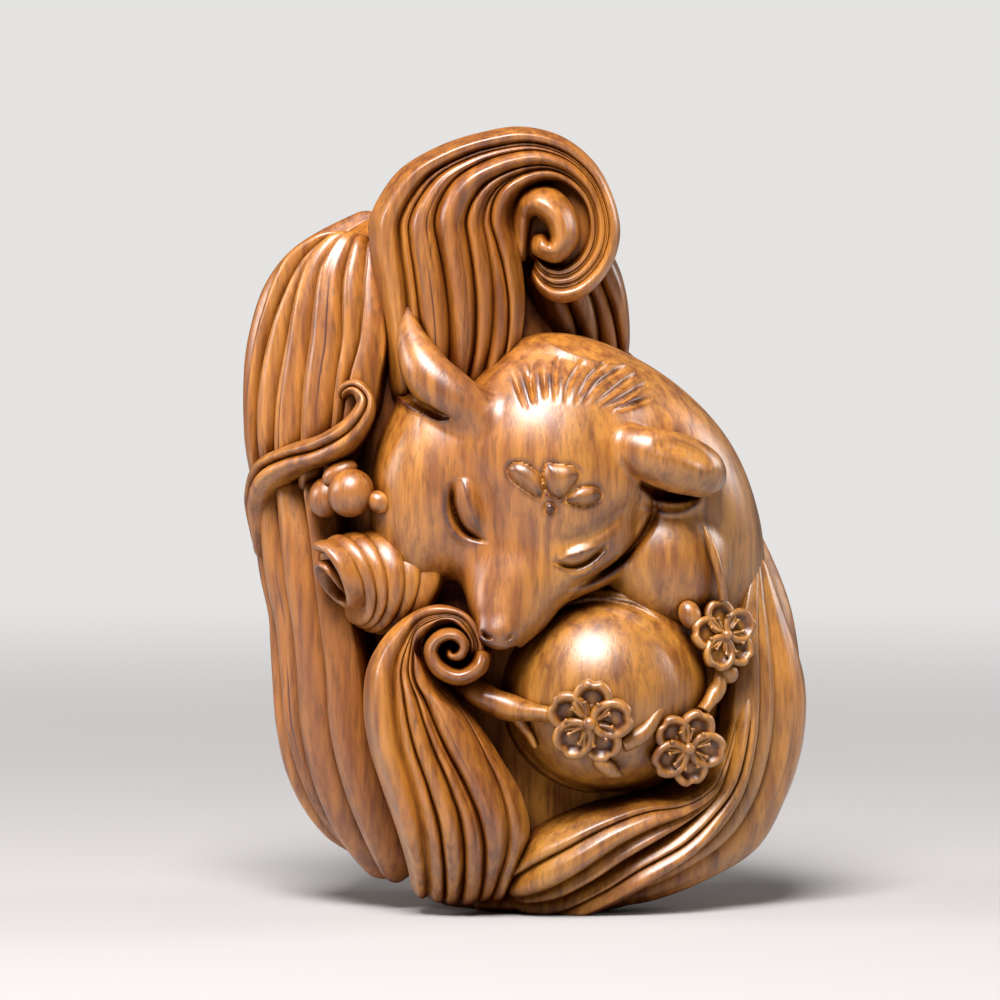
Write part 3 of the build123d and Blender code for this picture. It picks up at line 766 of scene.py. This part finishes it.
# Cuts in the face: pixels, a width in pixels, a depth and the share of the way in which the ends
# run out. Brows and jaw, then the forelock, then lids, mouth and nostrils.
brow_cuts = (
    (((460, 446), (476, 470), (488, 500), (488, 540)), 9, 0.35, 0.4),
    (((545, 545), (578, 540), (606, 526), (630, 500)), 8, 0.4, 0.3),
    (((652, 492), (655, 516), (642, 541), (624, 560), (600, 576), (566, 591)), 3.6, 1.0, 0.3),
)
forelock_rows = (
    ((527, 412), (512, 370)), ((536, 408), (524, 365)), ((533, 404), (531, 360)),
    ((546, 402), (543, 365)), ((556, 404), (556, 370), (562, 355)), ((566, 405), (570, 385), (585, 360)),
    ((575, 405), (590, 380), (610, 362)), ((583, 405), (600, 385), (630, 368)),
    ((592, 408), (615, 392), (640, 375)), ((600, 410), (625, 400), (650, 385)), ((612, 412), (655, 400)),
)
forelock_cuts = tuple((rows, 2.5, 0.55, 0.45) for rows in forelock_rows)
lid_cuts = (
    (((455, 478), (452, 500), (457, 520), (468, 534), (489, 543)), 2.2, 0.7, 0.25),
    (((447, 480), (444, 505), (449, 526), (462, 541), (482, 548)), 4.0, -0.25, 0.35),
    (((550, 560), (570, 567), (588, 562), (609, 544)), 2.0, 0.65, 0.25),
    (((560, 573), (575, 577), (592, 571), (609, 555)), 4.0, -0.2, 0.35),
    (((478, 640), (490, 650), (504, 653), (520, 644)), 2.2, 0.5, 0.3),
    (((482, 630), (486, 636), (494, 637)), 1.9, 0.6, 0.3),
    (((505, 640), (510, 637), (513, 632)), 1.7, 0.3, 0.3),
)
# Lids and petals of the mark: an outline, a height, the pixels over which it rises, the depth of the
# cut round it and how steep its edge starts
left_lid = ((458, 476), (470, 478), (482, 494), (490, 520), (484, 538), (468, 533), (457, 519), (453, 499))
face_pads = (
    (left_lid, 0.6, 11, 0, 2),
    (((556, 561), (566, 549), (582, 543), (600, 546), (590, 559), (575, 565)), 0.34, 7, 0, 2),
    (((508, 468), (515, 462), (530, 466), (543, 480), (540, 496), (525, 488), (512, 478)), 0.6, 5, 0.22, 1),
    (((547, 462), (558, 464), (572, 466), (578, 476), (560, 497), (543, 482)), 0.6, 5, 0.22, 1),
    (((565, 500), (578, 488), (596, 487), (600, 497), (585, 505)), 0.55, 5, 0.22, 1),
    (((545, 505), (550, 502), (555, 507), (551, 513), (546, 511)), 0.5, 4, 0.22, 1),
)
ear_cuts = (
    (((640, 508), (660, 514), (685, 514), (708, 500)), 4, -0.3, 0.2),
    (((652, 444), (678, 448), (698, 458), (710, 472)), 7, 0.55, 0.35),
    (((380, 370), (392, 395), (410, 408), (440, 420)), 4, -0.35, 0.2),
)
face = Relief(body, share=0.8)
for cut in brow_cuts + forelock_cuts + lid_cuts:
    face.stroke(*cut)
for pad in face_pads:
    face.pad(*pad)
for cut in ear_cuts:
    face.stroke(*cut)
body.engrave(face.depth, back_share=0.2)
body_nodes = ("head", "cheek", "chest", "back", "left_ear", "right_ear", "nose", "left_eyelid")
mark_nodes = ("right_eyelid", "forelock", "heart_mark", "left_mark", "right_mark", "dot_mark")
kept(body.mesh("fox_body"), *body_nodes, *mark_nodes)

# The haunch, and the cuts and the ridge of the band round it
haunch = Clay(low=(-7, -17.5, 7), high=(19, 4, 33))
haunch.join(haunch.egg(spot(607, 686, 28), (10.1, 7.6, 10.1)), blend=0)
haunch.join(haunch.egg(spot(608, 688, 36), (9.3, 8.0, 9.3)), blend=0.2)
haunch.join(haunch.egg(spot(600, 694, 40), (8.9, 8.6, 8.9)), blend=0)
band_cuts = (
    (((512, 700), (524, 745), (560, 780), (610, 792), (650, 782)), 5, 0.4, 0.3),
    (((512, 664), (528, 634), (556, 612), (596, 602), (636, 608), (668, 628)), 2.6, 0.35, 0.2),
    (((508, 650), (526, 620), (556, 600), (596, 590), (640, 597), (676, 618)), 4, -0.25, 0.2),
)
band = Relief(haunch, share=0.6)
for cut in band_cuts:
    band.stroke(*cut)
haunch.engrave(band.depth, back_share=0.1)
kept(haunch.mesh("haunch_form"), "haunch")


# Round things: beads, buds, twigs and blossoms
ball_rows, ball_columns, pole_gap = 24, 32, 0.02
aside = (0.3, 0.9, 0.1)


def ball(name, centre, radii, *nodes, pole=(0, 0, 1)):
    """A spheroid with its pole along a direction, its radii across and along it."""
    lat = np.linspace(pole_gap, math.pi - pole_gap, ball_rows)[:, None]
    lon = circle(ball_columns)
    pole = unit(np.asarray(pole, float))
    first = unit(np.cross(pole, aside))
    rings = circled(np.asarray(centre), np.sin(lat) * radii[0], lon, first, np.cross(pole, first))
    rings = rings + (np.cos(lat) * radii[1] + 0 * lon)[..., None] * pole
    return kept(solid(name, *tube_mesh(rings[:, ::-1])), *nodes)


ball("large_bead_form", spot(351, 493, 62), (2.05, 2.15), "large_bead", pole=(0.3, 0, 1))
ball("small_bead_form", spot(327, 497, 52), (1.6, 1.85), "small_bead", pole=(0.3, 0.2, 1))
ball("bud_bead_form", spot(379, 502, 66), (0.95, 1.15), "bud_bead", pole=(1, 0, -0.6))
ball("upper_bead_form", spot(340, 473, 58), (1.0, 1.7), pole=(0.9, 0, 0.5))

twig_step, twig_sides, twig_deep = 0.15, 24, 1.4
knots_round, knots_along, knot_beat, knot_phase, knot_share = 2, 5, 9, 6, 0.6


def twig(name, knots, rows, *nodes):
    """A twig through rows of a pixel, a width in pixels and a forward share."""
    rows = np.asarray(rows, float)
    centres = spot(rows[:, 0], rows[:, 1], rows[:, 3])
    places = evenly(centres, twig_step)
    path = curve(centres, places)
    tangent = unit(np.gradient(path, axis=0))
    first = unit(np.cross(tangent, (0, 1, 0)))
    second = np.cross(tangent, first)[:, None] * twig_deep
    turn = circle(twig_sides)
    length = np.linspace(0, 1, len(places))[:, None]
    radius = curve(rows[:, 2] * pixel / 2, places)[:, None]
    bumps = np.sin(turn * knots_round + length * knots_along + rng.uniform(0, knot_phase))
    bumps = bumps * np.sin(length * knot_beat + rng.uniform(0, knot_phase))
    radius = radius * (1 + knots * bumps * knot_share)
    rings = circled(path[:, None], radius, turn, first[:, None], second)
    return kept(solid(name, *tube_mesh(rings)), *nodes)


smooth, plain, knotty = 0.05, 0.12, 0.2
left_branch_rows = (
    (455, 684, 12, 62), (474, 691, 25, 66), (500, 705, 26, 70), (528, 712, 20, 78), (556, 716, 14, 86),
)
right_twig_rows = (
    (622, 745, 18, 84), (642, 734, 18, 82), (657, 716, 13, 78), (666, 697, 8, 74), (669, 680, 3, 72),
)
left_spur_rows = ((512, 712, 14, 72), (526, 730, 10, 74), (536, 748, 6, 74))
upper_branch_rows = ((722, 660, 14, 54), (718, 688, 16, 58), (702, 712, 12, 64))
low_leaf_rows = ((592, 752, 8, 84), (602, 764, 17, 83), (612, 772, 14, 80), (622, 777, 4, 78))
chest_twig_rows = ((704, 526, 3, 62), (711, 545, 9, 63), (719, 570, 10, 63), (724, 600, 8, 60))
twig("left_branch_form", knotty, left_branch_rows, "left_branch")
twig("left_branch_spur", plain, left_spur_rows)
twig("right_twig_form", plain, right_twig_rows, "right_twig")
twig("upper_branch_form", knotty, upper_branch_rows, "upper_branch")
twig("low_leaf_form", smooth, low_leaf_rows)
twig("chest_twig_form", plain, chest_twig_rows, "chest_twig")
ball("crest_hollow", spot(564, 224, 34), (4.2, 1.2), pole=(0, 1, 0))
ball("upper_bud", spot(690, 615, 62), (1.0, 1.3), pole=(-0.4, 0, 1))
ball("lower_bud", spot(728, 672, 56), (0.9, 1.1), pole=(0.6, 0, -1))

# Blossoms, in shares of a blossom's radius: petals, the disc under them, stamens and the bead
petals, petal_out, petal_reach, petal_long, petal_wide = 5, 0.52, 0.47, 1.12, 1.02
petal_top, petal_under = (0.05, 1, 14), (0.97, 0.1, 6)
petal_thick, petal_taper, petal_lift = 0.22, 1.2, 0.05
rim_place, rim_spread, rim_rise = 0.8, 0.27, 0.17
wave_rise, waves_round, notch_depth, notch_spread = 0.02, 3, 0.09, 0.12
disc_top, disc_under, disc_radius, disc_dome, disc_deep = (0.05, 1, 8), (0.9, 0.1, 4), 0.42, 0.1, 0.5
stamens, stamen_run, stamen_turn, stamen_rise, stamen_slope = 10, (0.22, 0.56, 9), 18, 0.14, 0.10
stalk, anther, anther_from = 0.03, 0.062, 0.48
bead_radius, bead_rise, bead_gap = 0.17, 0.16, 0.05
petal_sides, stamen_sides, bead_rows, bead_sides = 40, 8, 12, 20


def folded(top, under):
    """Places out over a form and back under it, and which are under it."""
    places = np.concatenate([np.linspace(*top), np.linspace(*under)])[:, None]
    return places, np.arange(len(places))[:, None] >= top[2]


def blossom(name, place, radius_px, facing, turn, node):
    """A blossom of cupped petals with stamens round a bead."""
    centre = spot(*place)
    facing = unit(np.asarray(facing, float))
    right = unit(np.cross(facing, (0, 0, 1))) * -1
    up = np.cross(right, facing) * -1
    if up[2] < 0:
        up = -up
    size = radius_px * pixel
    parts = []
    rho, under = folded(petal_top, petal_under)
    theta = circle(petal_sides)
    reach = size * petal_reach
    rim = np.exp(-(((rho - rim_place) / rim_spread) ** 2))
    notch = notch_depth * size * np.exp(-((np.abs(np.sin(theta / 2)) / notch_spread) ** 2)) * rho**3
    local_out = (rho * reach * petal_long - notch) * np.cos(theta)
    local_across = rho * reach * petal_wide * np.sin(theta)

    def spread(count, start):
        """Each direction out from the middle, and the one across it."""
        for k in range(count):
            angle = math.radians(start + 360 / count * k)
            out = right * math.sin(angle) + up * math.cos(angle)
            yield k, out, np.cross(facing, out)

    for k, out, across in spread(petals, turn):
        cup = rim_rise * size * rim + wave_rise * size * np.cos(theta * waves_round + k) * rho**2
        height = np.where(under, cup - petal_thick * size - petal_taper * (1 - rho), cup)
        height = height + petal_lift * size * (k % 2)
        ring = centre + out * size * petal_out
        ring = ring + local_out[..., None] * out + local_across[..., None] * across
        parts.append(tube_mesh(ring + height[..., None] * facing))
    disc, low = folded(disc_top, disc_under)
    height = disc_dome * size * (1 - disc**2) - low * disc_deep * size
    ring = circled(centre, disc * disc_radius * size, theta, right, up)
    parts.append(tube_mesh(ring + (height + 0 * theta)[..., None] * facing))
    for _, out, across in spread(stamens, turn + stamen_turn):
        places = np.linspace(*stamen_run)[:, None]
        path = centre + out * places * size + facing * size * (stamen_rise + stamen_slope * places)
        wide = size * np.where(places > anther_from, anther, stalk)
        parts.append(tube_mesh(circled(path[:, None], wide, circle(stamen_sides), across, facing)))
    lat = np.linspace(bead_gap, math.pi - bead_gap, bead_rows)[:, None]
    spin = circle(bead_sides)
    bead = bead_radius * size
    ring = circled(centre + facing * size * bead_rise, bead * np.sin(lat), spin, right, up)
    parts.append(tube_mesh(ring + (bead * np.cos(lat) + 0 * spin)[..., None] * facing))
    points, quads, ends, count = [], [], [], 0
    for part_points, part_quads, part_ends in parts:
        points.append(part_points)
        quads.append(part_quads + count)
        ends += [tuple(v + count for v in face) for face in part_ends]
        count += len(part_points)
    return kept(solid(name, np.concatenate(points), np.concatenate(quads), ends), node)


blossom("front_blossom_form", (590, 722, 90), 43, (-0.1, -0.95, -0.25), 8, "front_blossom")
blossom("low_blossom_form", (687, 748, 72), 39, (0.3, -0.9, -0.2), 24, "low_blossom")
blossom("side_blossom_form", (724, 636, 58), 36, (0.45, -0.85, 0.15), -10, "side_blossom")

# The rolled tail at the left: strands round a roll, in steps from its inner end at -1 to its face at 1
scroll_axis = unit(np.array((-0.84, -0.54, 0.06)))
scroll_middle = spot(376, 581, 50)
scroll_half, scroll_radius, scroll_flare, scroll_fan = 38 * pixel, 38 * pixel, 17 * pixel, 0.42
scroll_strands, scroll_rise, scroll_skew, flare_power = (1.5, 1.2, 1.4, 1.0, 0.8), 1.7, 0.85, 0.8
rise_middle, rise_slope = 0.55, 0.35
inner_steps, inner_shares = (-1.55, -1.4, -1.2), (0.3, 0.7, 0.95)
face_steps, face_share, scroll_sides = (1.0, 0.98), 0.9, 120
first = unit(np.cross(scroll_axis, (0, 0, 1)))
second = np.cross(first, scroll_axis)


def rolled(step, radius, turn):
    """A point of the roll at a share of its length, which is longer over its top than under it."""
    radial = math.cos(turn) * first + math.sin(turn) * second
    length = scroll_half * step * (1 + scroll_fan * math.sin(turn))
    return scroll_middle + scroll_axis * length + radial * radius


bounds = np.cumsum([0, *scroll_strands])
bounds = bounds / bounds[-1] * 2 - 1
steps, ridges = [], []
part = strand_part
for low_step, high_step in zip(bounds[:-1], bounds[1:]):
    steps.append(low_step + part[:-1] * (high_step - low_step))
    swell = (high_step - low_step) * scroll_rise * np.clip(rise_middle + low_step * rise_slope, 0, 1)
    ridges.append((1 - np.abs(2 * part[:-1] ** scroll_skew - 1) ** strand_power) * swell)
steps = np.concatenate([inner_steps, *steps, face_steps])
ridges = np.concatenate([np.zeros(len(inner_steps)), *ridges, np.zeros(len(face_steps))])
profile = scroll_radius + scroll_flare * np.clip(0.5 - steps * 0.5, 0, 1) ** flare_power + ridges
profile[: len(inner_steps)] *= inner_shares
profile[-1] = scroll_radius * face_share
spin = circle(scroll_sides)[0]
sections = [[rolled(step, radius, turn) for turn in spin] for step, radius in zip(steps, profile)]
kept(solid("side_scroll_form", *tube_mesh(np.array(sections))), "side_scroll")

# The spiral on the roll's face
curl_count, curl_step, curl_turn, curl_start = 15, 1.02, 40, 60
curl_radius, curl_shrink, curl_widths_px = 0.92, 0.055, (14, 8)
turns = np.radians(curl_turn * np.arange(curl_count) + curl_start)
radii = scroll_radius * (curl_radius - curl_shrink * np.arange(curl_count))
curl_points = np.array([rolled(curl_step, radius, turn) for radius, turn in zip(radii, turns)])
curl_widths = pixel * np.linspace(*curl_widths_px, curl_count)
curl = stations(curl_points, np.tile(scroll_axis, (curl_count, 1)), curl_widths)
lock("side_curl_form", *curl, strands=1, rise=0.9, depth=1.0, node="side_curl")

# Floor, light and camera
pale = (0.78, 0.77, 0.76, 1)
floor = bpy.data.materials.new("pale_floor")
floor.use_nodes = True
nodes, links = floor.node_tree.nodes, floor.node_tree.links
surface = nodes["Principled BSDF"]
put(surface, Base_Color=(0.41, 0.405, 0.4, 1), Roughness=0.7)
place = shader_node("TexCoord")
away = shader_node("VectorMath")
away.operation = "LENGTH"
links.new(place.outputs["Object"], away.inputs[0])
far = shader_node("MapRange")
far.interpolation_type = "SMOOTHSTEP"
put(far, From_Min=0.04, From_Max=0.42)
links.new(away.outputs["Value"], far.inputs["Value"])
rays = shader_node("LightPath")
seen = shader_node("Math")
seen.operation = "MULTIPLY"
links.new(far.outputs["Result"], seen.inputs[0])
links.new(rays.outputs["Is Camera Ray"], seen.inputs[1])
glow = shader_node("Emission")
put(glow, Color=pale)
blend = shader_node("MixShader")
links.new(seen.outputs["Value"], blend.inputs["Fac"])
links.new(surface.outputs["BSDF"], blend.inputs[1])
links.new(glow.outputs["Emission"], blend.inputs[2])
links.new(blend.outputs["Shader"], nodes["Material Output"].inputs["Surface"])
bpy.ops.mesh.primitive_plane_add(size=8, location=(0, 0, 0))
ground = bpy.context.object
ground.name = "floor"
ground.data.materials.append(floor)

world = bpy.data.worlds.new("studio")
bpy.context.scene.world = world
world.use_nodes = True
nodes, links = world.node_tree.nodes, world.node_tree.links
put(nodes["Background"], Color=(0.82, 0.81, 0.8, 1), Strength=0.13)
backdrop = shader_node("Background")
put(backdrop, Color=pale)
rays = shader_node("LightPath")
blend = shader_node("MixShader")
links.new(rays.outputs["Is Camera Ray"], blend.inputs["Fac"])
links.new(nodes["Background"].outputs["Background"], blend.inputs[1])
links.new(backdrop.outputs["Background"], blend.inputs[2])
links.new(blend.outputs["Shader"], nodes["World Output"].inputs["Surface"])

lit_place = Vector((0, 0, 0.035))


def softbox(name, place, size, power, color):
    """A square soft light aimed at the figurine."""
    data = bpy.data.lights.new(name, "AREA")
    data.shape = "SQUARE"
    data.size = size
    data.energy = power
    data.color = color
    lamp = added(name, data)
    lamp.location = place
    aim = lit_place - Vector(place)
    lamp.rotation_euler = aim.to_track_quat("-Z", "Y").to_euler()


softbox("key", (-0.06, -0.26, 0.42), 0.22, 5.3, (1.0, 0.96, 0.96))
softbox("left_rim", (-0.42, -0.04, 0.2), 0.14, 0.9, (1.0, 0.97, 0.97))
softbox("right_rim", (0.4, 0.1, 0.2), 0.16, 0.8, (1.0, 0.97, 0.97))

camera = bpy.data.cameras.new("view")
camera.sensor_width = 36
frame_width = picture_px * pixel / metre
camera.lens = camera.sensor_width * view_distance / metre / frame_width
aim = Vector(((picture_px / 2 - middle_px) * pixel, 0, (base_px - picture_px / 2) * pixel)) / metre
eye = added("view", camera)
back_off = Vector((0, -math.cos(view_elevation), math.sin(view_elevation))) * view_distance / metre
eye.location = aim + back_off
eye.rotation_euler = (-back_off).to_track_quat("-Z", "Y").to_euler()
camera.clip_start, camera.clip_end = 0.01, 20
bpy.context.scene.camera = eye
bpy.context.scene.view_settings.view_transform = "Standard"
